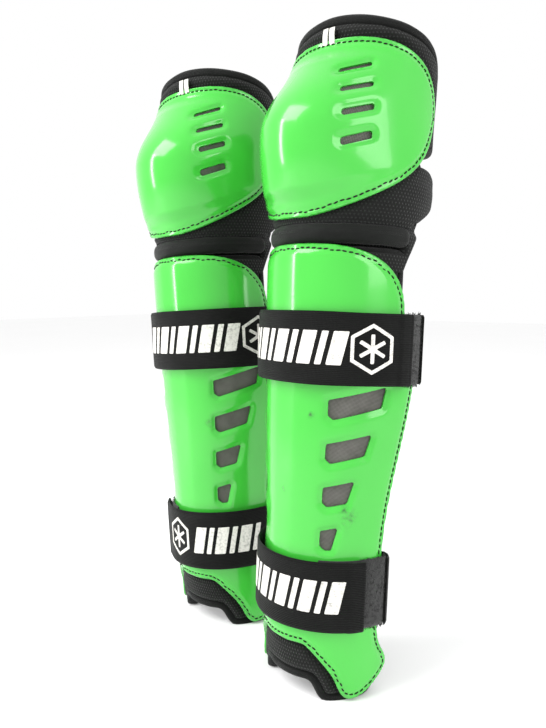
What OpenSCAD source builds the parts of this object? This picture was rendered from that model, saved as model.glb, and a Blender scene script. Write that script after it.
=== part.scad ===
// Pair of ice hockey shin guards with knee caps.
// Millimetres. +Z up, -Y is the front of the legs.
// Each guard is drawn in its own frame, with the front centre at the angle phi = 0 and the
// leg's axis on Z, and is then set on the floor. Both guards come from the same moulds; only the
// straps of the left guard are the mirror image of the right guard's. The side where phi is
// negative is the far side: its vents sit further round and its ankle lobe is narrower.

/* [Placement] */
// Half the distance between the two guards' axes at the floor
half_gap = 64; // [64:1:90]
// How far one guard stands ahead of the other
stagger = 48; // [40:1:56]
// How much each guard turns towards the other, degrees
toe_in = 4; // [2:0.5:6]
// How far the right guard leans to its outer side, degrees
right_side_lean = 0.25; // [0:0.05:1]
// How far the right guard leans backwards, degrees
right_back_lean = 3; // [0:0.05:3.5]
// How far the left guard leans to its outer side, degrees
left_side_lean = 3.8; // [2:0.05:4]
// How far the left guard leans backwards, degrees
left_back_lean = 0.2; // [0:0.05:1]

/* [Shin shell] */
// Half width of the shell at the ankle
shin_w_low = 52; // [50:0.5:54]
// Half width of the shell at the calf
shin_w_high = 58.5; // [57:0.5:60]
// Front depth of the shell at the ankle
shin_d_low = 61.5; // [60:0.5:64]
// Front depth of the shell at the top
shin_d_high = 66; // [64:0.5:67]
// Thickness of the moulded shells
wall = 2.6; // [2:0.1:2.8]
// Height of the top edge of the shin shell
shin_top = 323; // [320:1:324]
// Angle of the inner edge of the shin vents, degrees
vent_in = 23.5; // [20:0.5:26]
// Vertical pitch of the shin vents
vent_pitch = 31; // [30:0.5:32]
// How much further round the openings of the far side sit, degrees
far = 18; // [10:1:18]

/* [Knee cap] */
// Half width of the cap at its flange
cap_w = 62; // [61:0.5:63]
// Front depth of the cap at its flange
cap_d = 66; // [65:0.5:67]
// How far the dome of the cap stands out
dome = 19.5; // [12:0.5:22]
// Height of the cap's bottom edge at the front
cap_low = 341; // [340:1:344]
// Height of the cap's top edge at the front
cap_high = 467; // [464:1:469]
// How far the cap's top edge sits back from its flange
cap_back_lean = 12.5; // [6:0.5:13]

/* [Liner] */
// Height of the top edge of the thigh pad
pad_top = 485; // [482:1:490]
// Thickness of the outer fabric
cover_t = 2; // [1.5:0.1:2.2]
// Thickness of the foam
foam_t = 7.4; // [6:0.1:8]
// Thickness of the inner fabric
lining_t = 1.5; // [1:0.1:1.8]
// Height of the smooth roll above the shin shell
roll_z = 330.5; // [330:0.5:332]

/* [Straps] */
// Width of the elastic straps
strap_w = 50; // [40:1:52]
// Thickness of the elastic
strap_t = 2; // [1.5:0.1:2.2]
// Height of the lower edge of the upper strap
upper_z = 227; // [225:1:230]
// Height of the lower edge of the lower strap
lower_z = 53; // [50:1:56]
// Gap between the shell and the inside of a strap
strap_gap = 5; // [4.8:0.1:5.4]
// Radius of a strap's corner behind the leg
strap_r = 9; // [8:0.5:10]

/* [Hidden] */
MOULDED = ["shin_shell", "shin_vent_mesh", "shin_cover", "shin_foam", "shin_lining", "shin_binding",
          "knee_gusset", "gusset_roll", "knee_shell", "knee_vent_mesh", "knee_cover", "knee_foam",
          "knee_lining", "knee_binding", "knee_cradle", "label"];
STRAPS = ["upper_strap_front", "upper_strap_back", "upper_strap_pile", "upper_strap_end", "upper_strap_hook",
          "lower_strap_front", "lower_strap_back", "lower_strap_pile", "lower_strap_end", "lower_strap_hook"];

green = [0.36, 0.87, 0.34];
black = [0.11, 0.12, 0.11];
dark = [0.08, 0.09, 0.08];
fabric = [0.16, 0.16, 0.17];
grey = [0.40, 0.39, 0.35];
white = [0.92, 0.91, 0.88];

// lean of the guard being drawn; the guard modules below set both
$side = 0;
$back = 0;

// ---- helpers ----
function cl(x) = max(0, min(1, x));
function sm(x) = let(t = cl(x)) t * t * (3 - 2 * t);
function mix(a, b, t) = a + (b - a) * t;
// rounded corner: 0 at t = 0, 1 with a vertical tangent at t = 1
function corner(t, k) = 1 - sqrt(max(0, 1 - pow(cl(abs(t)), k)));
// point at the angle phi on an elliptic section with half axes a and b, pushed out along its normal
function sec(a, b, phi, z, off) =
    let(s = sin(phi), c = cos(phi), n = sqrt(b * b * s * s + a * a * c * c))
    [a * s + off * b * s / n, -b * c - off * a * c / n, z];
// height of the floor under a leaning guard, in the guard's own frame
function floor_z(x, y) = x * tan($side) + y * tan($back);
// lays the lowest part of a guard on the floor
function on_feet(q) = [q[0], q[1], q[2] + floor_z(q[0], q[1]) * sm((80 - q[2]) / 60)];

// ---- sections: half axes of the shell surfaces at height z ----
function shin_a(z) = mix(shin_w_low, shin_w_high, sm((z - 110) / 110));
function shin_b(z) = mix(shin_d_low, shin_d_high, sm((z - 200) / 110));
// the cap and its liner narrow and sit further back towards the top
function cap_top(z) = sm((z - 400) / 66);
function cap_a(z) = cap_w - 3 * cap_top(z);
function cap_b(z) = cap_d - 12 * cap_top(z);
function cap_sec(phi, z, off) = sec(cap_a(z), cap_b(z), phi, z, off) + [0, cap_back_lean * cap_top(z), 0];
function gus_a(z) = mix(shin_w_high, cap_w, sm((z - 330) / 34));
function gus_b(z) = mix(shin_d_high, cap_d, sm((z - 330) / 14));

// ---- outlines: t is -1 to 1 across a sheet, negative on the far side ----
// half angle of the shin shell's side edge at height z
function shin_e(z) = 72 + 20 * pow(cl((z - 60) / 170), 2) - 15 * sm((z - 229) / 56)
    + 11 * exp(-pow((z - 22) / 14, 2));
function shin_zt(t) = shin_top - 43 * corner(t, 3);
// ankle arch between two lobes
function shin_zb(t) = let(q = t < 0 ? pow(-t, 2.2) : t)
    q < 0.72 ? 2 + 20 * (1 + cos(180 * cl((q - 0.15) / 0.57))) : 2 + 22 * corner((q - 0.72) / 0.28, 2);
// knee cap
cap_e = 95;
function cap_zt(t) = cap_high - 52 * corner(t, 2.8);
function cap_zb(t) = cap_low + 46 * pow(t < 0 ? t * t : t, 1.6) + 28 * corner(t, 8);
// knee liner
pad_e = 109;
function pad_zt(t) = pad_top - 17 * pow(abs(t), 1.6) - 20 * corner(t, 8);
function pad_zb(t) = min(cap_zb(max(-1, min(1, t * pad_e / cap_e))) + 5, 387) + 8 * corner(t, 10);
// shin liner
lin_q = 86;
lin_zt = 322;
function lin_e(z) = shin_e(min(z, 280)) + 3;
function lin_zb(t) = let(q = abs(t) * lin_q, arch = t < 0 ? 38 : 18)
    8 * (1 + cos(180 * cl((q - arch) / 20))) - 2.2 + 14 * corner(cl((q - 72) / 14), 2);
// how much longer a step along the liner's bottom edge is than a level one
function lin_slope(t) = let(d = (lin_zb(t + 0.01) - lin_zb(t - 0.01)) / (0.02 * lin_q))
    min(1.7, sqrt(1 + d * d));
// gusset and lower wing
gus_zb = 337.6;
wing = 84;
function gus_e(z) = wing + 25 * sm((z - 336) / 20);
function gus_zt(t) = let(f = abs(t) * pad_e)
    f < wing ? cap_zb(t * pad_e / cap_e) + 3.6
    : min(cap_zb(sign(t) * wing / cap_e) + 3.6, 380) - 8 * corner((f - wing) / 25, 2.5);
// height of the cap's dome over its flange section
function dome_h(t, z) = let(v = cl((z - cap_zb(t)) / (cap_zt(t) - cap_zb(t))))
    dome * exp(-pow(t * cap_e / 38, 2)) * sm((0.98 - abs(t)) / 0.15)
    * pow(max(0, sin(180 * pow(v, 0.85))), 1.2) * sm((v - 0.03) / 0.12) * sm((0.97 - v) / 0.12);

// ---- surfaces: u and v are 0 to 1, off is the distance outwards, ins the inset from the outline ----
// rows are closer together over the ankle lobes than higher up
function grade(v) = pow(v, 1.5);
function shin_p(u, v, off) = let(t = 2 * u - 1, z = mix(shin_zb(t), shin_zt(t), grade(v)))
    on_feet(sec(shin_a(z), shin_b(z), t * shin_e(z), z, off));
function lin_p(u, v, off, ins) = let(
    t = 2 * u - 1, lift = t < 0 ? max(0, ins - 8) : 0,
    z = mix(lin_zb(t) + ins * lin_slope(t) + lift, lin_zt - ins, grade(v)))
    on_feet(sec(shin_a(z), shin_b(z), t * (lin_e(z) - ins), z, off));
function cap_p(u, v, off) = let(t = 2 * u - 1, z = mix(cap_zb(t), cap_zt(t), v))
    cap_sec(t * cap_e, z, off + dome_h(t, z));
function pad_p(u, v, off, ins) = let(t = 2 * u - 1, z = mix(pad_zb(t) + ins, pad_zt(t) - ins, v))
    cap_sec(t * (pad_e - ins), z, off);
function gus_p(u, v, off) = let(t = 2 * u - 1, z = mix(gus_zb, gus_zt(t), v))
    sec(gus_a(z), gus_b(z), t * gus_e(z), z, off);

// closed sheet of nu by nv cells between an outer and an inner surface
module sheet_solid(nu, nv, outer, inner) {
    count = (nu + 1) * (nv + 1);
    function a(i, j) = i * (nv + 1) + j;
    function b(i, j) = count + a(i, j);
    polyhedron(
        points = concat(
            [for (i = [0:nu]) for (j = [0:nv]) outer(i / nu, j / nv)],
            [for (i = [0:nu]) for (j = [0:nv]) inner(i / nu, j / nv)]),
        faces = concat(
            [for (i = [0:nu - 1]) for (j = [0:nv - 1]) for (f = [
                [a(i, j), a(i, j + 1), a(i + 1, j + 1)],
                [a(i, j), a(i + 1, j + 1), a(i + 1, j)],
                [b(i, j), b(i + 1, j + 1), b(i, j + 1)],
                [b(i, j), b(i + 1, j), b(i + 1, j + 1)]]) f],
            [for (i = [0:nu - 1]) for (f = [
                [a(i, 0), a(i + 1, 0), b(i + 1, 0)],
                [a(i, 0), b(i + 1, 0), b(i, 0)],
                [a(i + 1, nv), a(i, nv), b(i, nv)],
                [a(i + 1, nv), b(i, nv), b(i + 1, nv)]]) f],
            [for (j = [0:nv - 1]) for (f = [
                [a(0, j + 1), a(0, j), b(0, j)],
                [a(0, j + 1), b(0, j), b(0, j + 1)],
                [a(nu, j), a(nu, j + 1), b(nu, j + 1)],
                [a(nu, j), b(nu, j + 1), b(nu, j)]]) f]),
        convexity = 6);
}

// tube of ns rings with nk points each; f(s, k) is point k of the ring at s along the path
module ring_solid(ns, nk, f, closed = true) {
    function a(i, k) = (closed ? i % ns : i) * nk + k % nk;
    polyhedron(
        points = [for (i = [0:closed ? ns - 1 : ns]) for (k = [0:nk - 1]) f(i / ns, k)],
        faces = concat(
            [for (i = [0:ns - 1]) for (k = [0:nk - 1]) for (g = [
                [a(i, k), a(i + 1, k), a(i + 1, k + 1)],
                [a(i, k), a(i + 1, k + 1), a(i, k + 1)]]) g],
            closed ? [] : [[for (k = [0:nk - 1]) a(0, k)], [for (k = [nk - 1:-1:0]) a(ns, k)]]),
        convexity = 6);
}

// outline walk: s in 0..1 goes round the (u, v) square, with more steps on the long sides
function walk(s) =
    s < 0.3 ? [s / 0.3, 0] :
    s < 0.5 ? [1, (s - 0.3) / 0.2] :
    s < 0.8 ? [1 - (s - 0.5) / 0.3, 1] :
    [0, 1 - (s - 0.8) / 0.2];
function unit(v) = v / max(1e-6, norm(v));
// point k of the ring round centre(s): half width w in the sheet, half thickness h towards face(s)
function tube_pt(centre, face, s, k, w, h) = let(
    p = centre(s),
    t = unit(centre((s + 0.004) % 1) - centre((s + 0.996) % 1)),
    n0 = face(s) - p,
    n = unit(n0 - t * (n0 * t)),
    a = 360 * k / bind_k)
    p + n * h * cos(a) + cross(t, n) * w * sin(a);

// ---- liner build-up ----
liner_h = (cover_t + foam_t + lining_t) / 2;
// outer face of the shin liner and of the knee liner, from the shells' outer surface
shin_c0 = -wall - 1.7;
knee_c0 = -wall - 1.2;
// edge binding: half width and points round it; the sheets stop clear of it
bind_w = 4;
bind_k = 6;
cover_ins = 9.2;
foam_ins = 14.5;
// clearance between the layers
ply = 0.5;

// ---- shin ----
module shin_shell() color(green) difference() {
    sheet_solid(24, 15, function(u, v) shin_p(u, v, 0), function(u, v) shin_p(u, v, -wall));
    for (m = [-1, 1]) for (k = [0:3]) shin_vent(m, k);
}
// one trapezoid vent; the four shrink towards the ankle
// angle on either side, from the angle measured on the near side
function on_side(m, p) = m > 0 ? p : -p - far;
module shin_vent(m, k) hull()
    for (p = [[vent_in, 216 - vent_pitch * k], [65 - 9.3 * k, 226 - 33.3 * k], [61.5 - 9.6 * k, 211 - 34 * k],
              [vent_in + 4, 202 - vent_pitch * k], [vent_in, 205 - vent_pitch * k]])
        for (off = [-8, 9])
            translate(sec(shin_a(p[1]), shin_b(p[1]), on_side(m, p[0]), p[1], off)) cube(0.02, center = true);
module shin_vent_mesh() color(grey) for (m = [-1, 1])
    sheet_solid(5, 5,
        function(u, v) vent_back(m, u, v, -wall - 0.3), function(u, v) vent_back(m, u, v, -wall - 0.9));
function vent_back(m, u, v, off) = let(z = mix(100, 231, v), p = mix(15, 48 + 24 * v, m > 0 ? u : 1 - u))
    sec(shin_a(z), shin_b(z), on_side(m, p), z, off);
// one layer of the shin liner between two depths under its outer face
module shin_layer(nu, nv, d0, d1, ins) sheet_solid(nu, nv,
    function(u, v) lin_p(u, v, shin_c0 - d0, ins), function(u, v) lin_p(u, v, shin_c0 - d1, ins));
module shin_cover() color(black) shin_layer(18, 10, 0, cover_t, cover_ins);
module shin_foam() color(fabric) shin_layer(18, 10, cover_t + ply, cover_t + foam_t, foam_ins);
module shin_lining() color(fabric) shin_layer(18, 10, cover_t + foam_t + ply, 2 * liner_h, cover_ins);
module shin_binding() color(dark) ring_solid(60, bind_k, function(s, k) let(
    at = function(off) function(q) let(w = walk(q)) lin_p(w[0], w[1], off, bind_w))
    tube_pt(at(shin_c0 - liner_h), at(shin_c0), s, k, bind_w, liner_h));

// ---- gusset between shin and knee ----
module knee_gusset() color(black)
    sheet_solid(28, 4, function(u, v) gus_p(u, v, -wall - 0.8), function(u, v) gus_p(u, v, -wall - 4.2));
// padded roll over the top edge of the shin shell, with the web that it is sewn on just behind it
module gusset_roll() color(dark) {
    ring_solid(20, 8, function(s, k) sec(
        shin_w_high, shin_d_high, mix(-82, 82, s), roll_z - 6.6 * sin(45 * k), -6 + 5.2 * cos(45 * k)),
        closed = false);
    sheet_solid(20, 1, function(u, v) web_p(u, v, -11.7), function(u, v) web_p(u, v, -12.9));
}
function web_p(u, v, off) = let(z = mix(lin_zt + 1, 343, v))
    sec(shin_w_high, shin_d_high, mix(-94, 94, u), z, off);

// ---- knee ----
module knee_shell() color(green) difference() {
    sheet_solid(24, 13, function(u, v) cap_p(u, v, 0), function(u, v) cap_p(u, v, -wall));
    for (m = [-1, 1]) for (k = [0:3]) cap_slot(m, k);
}
// one slanted slot: angle and height of its inner end, angle that it spans
slot_phi = [17.5, 23.2, 26.9, 27.1];
slot_z = [438.8, 422.9, 406.3, 387.7];
slot_span = [17.2, 15.8, 15.5, 15.7];
module cap_slot(m, k) hull() for (e = [0, 1]) for (dz = [-1, 1]) for (off = [-12, 32])
    let(z = slot_z[k] + e * (6.5 + 0.1 * k) + dz * (1.5 + 0.35 * k))
    translate(cap_sec(on_side(m, slot_phi[k] + e * slot_span[k]), z, off)) cube(0.5, center = true);
module knee_vent_mesh() color(grey) for (m = [-1, 1])
    sheet_solid(8, 9,
        function(u, v) cap_back(m, u, v, -wall - 0.65), function(u, v) cap_back(m, u, v, -wall - 1.1));
function cap_back(m, u, v, off) = let(z = mix(378, 452, v), f = on_side(m, mix(10, 56, m > 0 ? u : 1 - u)))
    cap_sec(f, z, off + dome_h(f / cap_e, z));
// one layer of the knee liner between two depths under its outer face
module knee_layer(nu, nv, d0, d1, ins) sheet_solid(nu, nv,
    function(u, v) pad_p(u, v, knee_c0 - d0, ins), function(u, v) pad_p(u, v, knee_c0 - d1, ins));
module knee_cover() color(black) knee_layer(18, 8, 0, cover_t, cover_ins);
module knee_foam() color(fabric) knee_layer(18, 8, cover_t + ply, cover_t + foam_t, foam_ins);
module knee_lining() color(fabric) knee_layer(18, 8, cover_t + foam_t + ply, 2 * liner_h, cover_ins);
module knee_binding() color(dark) ring_solid(60, bind_k, function(s, k) let(
    at = function(off) function(q) let(w = walk(q)) pad_p(w[0], w[1], off, bind_w))
    tube_pt(at(knee_c0 - liner_h), at(knee_c0), s, k, bind_w, liner_h));
// ring pad that seats the leg's knee cap
cradle_r = 36;
cradle_z = 405;
module knee_cradle() color(fabric) ring_solid(28, 6, function(s, k)
    let(a = 60 * k, r = cradle_r + 7 * sin(a), z = cradle_z + r * sin(360 * s))
    cap_sec(r * cos(360 * s) * 1.1, z, knee_c0 - 2 * liner_h - 4 + 3.6 * cos(a)));
// blank folded tab at the cap's top edge
module label() color(white)
    sheet_solid(4, 2, function(u, v) label_p(u, v, 1.3), function(u, v) label_p(u, v, 0.4));
function label_p(u, v, off) = let(z = mix(cap_high + 1.3, cap_high + 8, v))
    cap_sec(mix(-4, 6, u), z, knee_c0 + off);

// ---- straps: flat elastic standing on edge ----
// plan of a strap at its middle height: it follows the shell round to the angle side, rounds a
// corner of radius strap_r and runs straight across behind the leg. f is -180..180, 0 at the front
upper_side = 90;
lower_side = 72;
function strap_xy(z, side, f, off) = let(
    a = shin_a(z) + strap_gap, b = shin_b(z) + strap_gap, m = f < 0 ? -1 : 1, g = abs(f),
    e = min(g, side), n = atan2(b * sin(e), a * cos(e)), p = [a * sin(e), -b * cos(e)],
    c = p - strap_r * [sin(n), -cos(n)], w = (g - side) / (180 - side), turn = mix(n, 180, w / 0.35),
    q = g <= side ? p + off * [sin(n), -cos(n)]
      : w < 0.35 ? c + (strap_r + off) * [sin(turn), -cos(turn)]
      : [mix(c[0], 0, (w - 0.35) / 0.65), c[1] + strap_r + off])
    [m * q[0], q[1]];
// brings an angle past 180 round to the other side
function wrap(f) = f > 180 ? f - 360 : f < -180 ? f + 360 : f;
// stretch of a strap from f0 to f1, between the offsets o0 and o1, dz in from both edges
module strap_arc(z, side, f0, f1, o0, o1, n, dz = 0, drop = function(f) 0)
    translate([0, 0, z + dz]) linear_extrude(strap_w - 2 * dz) polygon(
        [for (o = [o1, o0]) for (i = o == o1 ? [0:n] : [n:-1:0]) let(f = mix(f0, f1, i / n))
            strap_xy(z + strap_w / 2, side, wrap(f), o + drop(f))]);
// the run behind the leg drops onto the pile tab at its outer end
function to_tab() = function(f) -1.7 * sm((-180 - f) / 35);
// angles where each strap's free end starts to peel and where it ends
upper_turn = 28;
upper_free = 78;
lower_turn = 8;
lower_free = 56;
// angle covered by the hook tape at the free end
hook_f = 25;
module strap_front(z, side, turn, n) color(black) strap_arc(z, side, -side + 0.2, turn, 0, strap_t, n);
module strap_back(z, side) color(black) strap_arc(z, side, -side, -360 + side + 6, 0, strap_t, 36, 0, to_tab());
module strap_pile(z, side, f0, f1) color(fabric) strap_arc(z, side, f0, f1, -4.4, -1.8, 18);
module strap_end(z, side, turn, free) color(black) strap_arc(z, side, turn + 0.4, free, 0, strap_t, 12);
module strap_hook(z, side, free) color(dark) strap_arc(z, side, free - hook_f, free - 1.5, -1.5, -0.15, 6, 2);

module piece(n) {
    if (n == "shin_shell") shin_shell();
    if (n == "shin_vent_mesh") shin_vent_mesh();
    if (n == "shin_cover") shin_cover();
    if (n == "shin_foam") shin_foam();
    if (n == "shin_lining") shin_lining();
    if (n == "shin_binding") shin_binding();
    if (n == "knee_gusset") knee_gusset();
    if (n == "gusset_roll") gusset_roll();
    if (n == "upper_strap_front") strap_front(upper_z, upper_side, upper_turn, 22);
    if (n == "upper_strap_back") strap_back(upper_z, upper_side);
    if (n == "upper_strap_pile") strap_pile(upper_z, upper_side, 46, upper_side + 26);
    if (n == "lower_strap_front") strap_front(lower_z, lower_side, lower_turn, 18);
    if (n == "lower_strap_back") strap_back(lower_z, lower_side);
    if (n == "lower_strap_pile") strap_pile(lower_z, lower_side, 24, lower_side + 30);
    if (n == "knee_shell") knee_shell();
    if (n == "knee_vent_mesh") knee_vent_mesh();
    if (n == "knee_cover") knee_cover();
    if (n == "knee_foam") knee_foam();
    if (n == "knee_lining") knee_lining();
    if (n == "knee_binding") knee_binding();
    if (n == "knee_cradle") knee_cradle();
    if (n == "label") label();
    if (n == "upper_strap_end") strap_end(upper_z, upper_side, upper_turn, upper_free);
    if (n == "upper_strap_hook") strap_hook(upper_z, upper_side, upper_free);
    if (n == "lower_strap_end") strap_end(lower_z, lower_side, lower_turn, lower_free);
    if (n == "lower_strap_hook") strap_hook(lower_z, lower_side, lower_free);
}

// ---- the pair ----
// brings the centre of the pair's box to the origin
centre_x = 11.8;
centre_y = 18.5;
module stand(turn) rotate([0, 0, turn]) rotate([-$back, $side, 0]) children();
module right_guard() {
    $side = right_side_lean;
    $back = right_back_lean;
    translate([centre_x + half_gap, centre_y - stagger / 2, 0]) stand(-toe_in) children();
}
module left_guard() {
    $side = -left_side_lean;
    $back = left_back_lean;
    translate([centre_x - half_gap, centre_y + stagger / 2, 0]) stand(toe_in) children();
}
// the left guard's straps wrap the other way round
module left_piece(n) if (len([for (strap = STRAPS) if (strap == n) strap]) > 0) mirror([1, 0, 0]) piece(n);
else piece(n);
// the binding under the ankle lobes is pressed flat where the guard stands
module pressed_flat(n) if (n == "shin_binding") difference() {
    children();
    translate([-300, -300, -30]) cube([600, 600, 30]);
} else children();

for (n = concat(MOULDED, STRAPS)) {
    pressed_flat(n) right_guard() piece(n);
    pressed_flat(n) left_guard() left_piece(n);
}
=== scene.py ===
"""A pair of ice hockey shin guards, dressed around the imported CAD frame.

Shapes are worked out in each guard's own frame, in millimetres: phi is the angle round the leg,
0 at the front, and z the height. place() then sets them on the floor where the frame has them.
Both guards come from the same moulds, whose far side is the one where phi is negative. Only the
left guard's straps are the mirror image of the right one's.
"""
import math

import bpy
import numpy as np
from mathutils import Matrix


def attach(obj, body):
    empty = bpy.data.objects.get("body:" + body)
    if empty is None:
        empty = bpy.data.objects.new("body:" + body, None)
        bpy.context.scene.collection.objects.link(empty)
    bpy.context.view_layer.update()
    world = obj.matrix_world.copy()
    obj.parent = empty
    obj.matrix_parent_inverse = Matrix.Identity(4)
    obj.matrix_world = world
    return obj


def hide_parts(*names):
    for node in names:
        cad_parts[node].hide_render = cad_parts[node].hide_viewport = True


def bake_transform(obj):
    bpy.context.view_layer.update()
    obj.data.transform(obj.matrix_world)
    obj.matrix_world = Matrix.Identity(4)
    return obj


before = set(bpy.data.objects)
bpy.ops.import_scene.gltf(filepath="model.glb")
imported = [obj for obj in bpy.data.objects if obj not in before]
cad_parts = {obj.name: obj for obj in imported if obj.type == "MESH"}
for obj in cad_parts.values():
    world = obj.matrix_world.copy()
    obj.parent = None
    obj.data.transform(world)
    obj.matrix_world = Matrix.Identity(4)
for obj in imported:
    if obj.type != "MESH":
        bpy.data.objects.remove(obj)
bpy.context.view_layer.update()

MM = 0.001

# ---------------------------------------------------------------- driving dimensions, mm
HALF_GAP, STAGGER, TOE_IN = 64.0, 48.0, 4.0
CENTRE = (11.8, 18.5)
LEAN = {"r": (0.25, 3.0), "l": (-3.8, 0.2)}      # towards +X and backwards, degrees
SHIN_TOP, CAP_LOW, CAP_HIGH, PAD_TOP = 323.0, 341.0, 467.0, 485.0
SHIN_W, SHIN_D = (52.0, 58.5), (61.5, 66.0)      # half width and front depth at the ankle and at the top
CAP_W, CAP_D = 62.0, 66.0
WALL, DOME, CAP_BACK = 2.6, 19.5, 12.5
FAR = 18.0                                       # how much further round the far side's openings sit, degrees
CAP_E, PAD_E, LIN_Q, WING = 95.0, 109.0, 86.0, 84.0
SHIN_FACE, KNEE_FACE, LINER_T = -WALL - 1.7, -WALL - 1.2, 10.9
HEM_W, STITCH_IN, ROLL_Z = 4.0, 3.3, 330.5
CLEAR = 50.0                                     # a distance from any opening at which it leaves no mark
STRAP_W, STRAP_T, STRAP_GAP, STRAP_R = 50.0, 2.0, 5.0, 9.0
UPPER = dict(z=227.0, side=90.0, turn=28.0, free=78.0, pile=(46.0, 116.0))
LOWER = dict(z=53.0, side=72.0, turn=8.0, free=56.0, pile=(24.0, 102.0))
ARC = 1.04                                       # millimetres of arc in one degree of phi


# ---------------------------------------------------------------- small maths
def clamp(x):
    return np.clip(x, 0.0, 1.0)


def smooth(x):
    t = clamp(x)
    return t * t * (3 - 2 * t)


def mix(a, b, t):
    return a + (b - a) * t


def bell(x, width):
    return np.exp(-(x / width) ** 2)


def corner(t, k):
    """Rounded corner: 0 at t = 0, 1 with a vertical tangent at t = 1."""
    return 1 - np.sqrt(np.maximum(0, 1 - clamp(np.abs(t)) ** k))


def section(a, b, phi, z, off):
    """Points of an elliptic section with half axes a and b, pushed out along its normal."""
    s, c = np.sin(np.radians(phi)), np.cos(np.radians(phi))
    n = np.sqrt(b * b * s * s + a * a * c * c)
    return np.stack([a * s + off * b * s / n, -b * c - off * a * c / n, z + 0 * s], -1)


def ripple(x, y, seed, scale):
    """Slow, repeatable unevenness between -1 and 1."""
    r = np.random.default_rng(seed)
    total = 0.0
    for _ in range(5):
        kx, ky, p = r.normal(0, 1, 2).tolist() + [r.uniform(0, 6.28)]
        total = total + np.sin((kx * x + ky * y) / scale + p)
    return total / 5


# ---------------------------------------------------------------- the guard's form, as in the frame
def shin_a(z):
    return mix(*SHIN_W, smooth((z - 110) / 110))


def shin_b(z):
    return mix(*SHIN_D, smooth((z - 200) / 110))


def cap_top(z):
    return smooth((z - 400) / 66)


def cap_section(phi, z, off):
    """The cap narrows and sits further back towards its top."""
    made = section(CAP_W - 3 * cap_top(z), CAP_D - 12 * cap_top(z), phi, z, off)
    made[..., 1] += CAP_BACK * cap_top(z)
    return made


def shin_section(phi, z, off):
    return section(shin_a(z), shin_b(z), phi, z, off)


def gusset_section(phi, z, off):
    return section(mix(SHIN_W[1], CAP_W, smooth((z - 330) / 34)), CAP_D, phi, z, off)


def shin_e(z):
    return (72 + 20 * clamp((z - 60) / 170) ** 2 - 15 * smooth((z - 229) / 56)
            + 11 * bell(z - 22, 14.0))


def shin_zt(t):
    return SHIN_TOP - 43 * corner(t, 3)


def shin_zb(t):
    q = np.where(t < 0, np.abs(t) ** 2.2, t)
    arch = 2 + 20 * (1 + np.cos(np.pi * clamp((q - 0.15) / 0.57)))
    return np.where(q < 0.72, arch, 2 + 22 * corner((q - 0.72) / 0.28, 2))


def cap_zt(t):
    return CAP_HIGH - 52 * corner(t, 2.8)


def cap_zb(t):
    return CAP_LOW + 46 * np.where(t < 0, t * t, np.abs(t)) ** 1.6 + 28 * corner(t, 8)


def pad_zt(t):
    return PAD_TOP - 17 * np.abs(t) ** 1.6 - 20 * corner(t, 8)


def pad_zb(t):
    edge = cap_zb(np.clip(t * PAD_E / CAP_E, -1, 1)) + 5
    return np.minimum(edge, 387) + 8 * corner(t, 10)


def lin_e(z):
    return shin_e(np.minimum(z, 280)) + 3


def lin_zb(t):
    q, arch = np.abs(t) * LIN_Q, np.where(t < 0, 38, 18)
    return 8 * (1 + np.cos(np.pi * clamp((q - arch) / 20))) - 2.2 + 14 * corner(clamp((q - 72) / 14), 2)


def lin_zt(t):
    return 322.0 + 0 * t


def gus_e(z):
    return WING + 25 * smooth((z - 336) / 20)


def gus_zb(t):
    return 337.6 + 0 * t


def gus_zt(t):
    f = np.abs(t) * PAD_E
    low = cap_zb(np.sign(t) * WING / CAP_E) + 3.6
    wing = np.minimum(low, 380) - 8 * corner(clamp((f - WING) / 25), 2.5)
    return np.where(f < WING, cap_zb(np.clip(t * PAD_E / CAP_E, -1, 1)) + 3.6, wing)


def dome_h(phi, z):
    t = phi / CAP_E
    v = clamp((z - cap_zb(t)) / (cap_zt(t) - cap_zb(t)))
    return (DOME * bell(phi, 38.0) * smooth((0.98 - np.abs(t)) / 0.15)
            * np.maximum(0, np.sin(np.pi * v ** 0.85)) ** 1.2
            * smooth((v - 0.03) / 0.12) * smooth((0.97 - v) / 0.12))


def rotation(axis, degrees):
    c, s = math.cos(math.radians(degrees)), math.sin(math.radians(degrees))
    rows = {"x": [[1, 0, 0], [0, c, -s], [0, s, c]],
            "y": [[c, 0, s], [0, 1, 0], [-s, 0, c]],
            "z": [[c, -s, 0], [s, c, 0], [0, 0, 1]]}
    return np.array(rows[axis])


STAND = {g: rotation("z", turn) @ rotation("y", LEAN[g][0]) @ rotation("x", -LEAN[g][1])
         for g, turn in (("r", -TOE_IN), ("l", TOE_IN))}


def place(points, guard):
    """From a guard's own frame in millimetres to the row frame in metres. "strap" is the left guard's
    mirrored frame, in which its straps are drawn."""
    q = np.asarray(points, float) * ([-1, 1, 1] if guard == "strap" else [1, 1, 1])
    q = q @ STAND["r" if guard == "r" else "l"].T
    side = 1 if guard == "r" else -1
    return (q + [CENTRE[0] + side * HALF_GAP, CENTRE[1] - side * STAGGER / 2, 0]) * MM


def on_feet(points, guard):
    """Lays the lowest part of a guard on the floor under its lean."""
    side, back = (math.tan(math.radians(x)) for x in LEAN[guard])
    low = smooth((80 - points[:, 2]) / 60)
    out = points.copy()
    out[:, 2] += (points[:, 0] * side + points[:, 1] * back) * low
    return out


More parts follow.
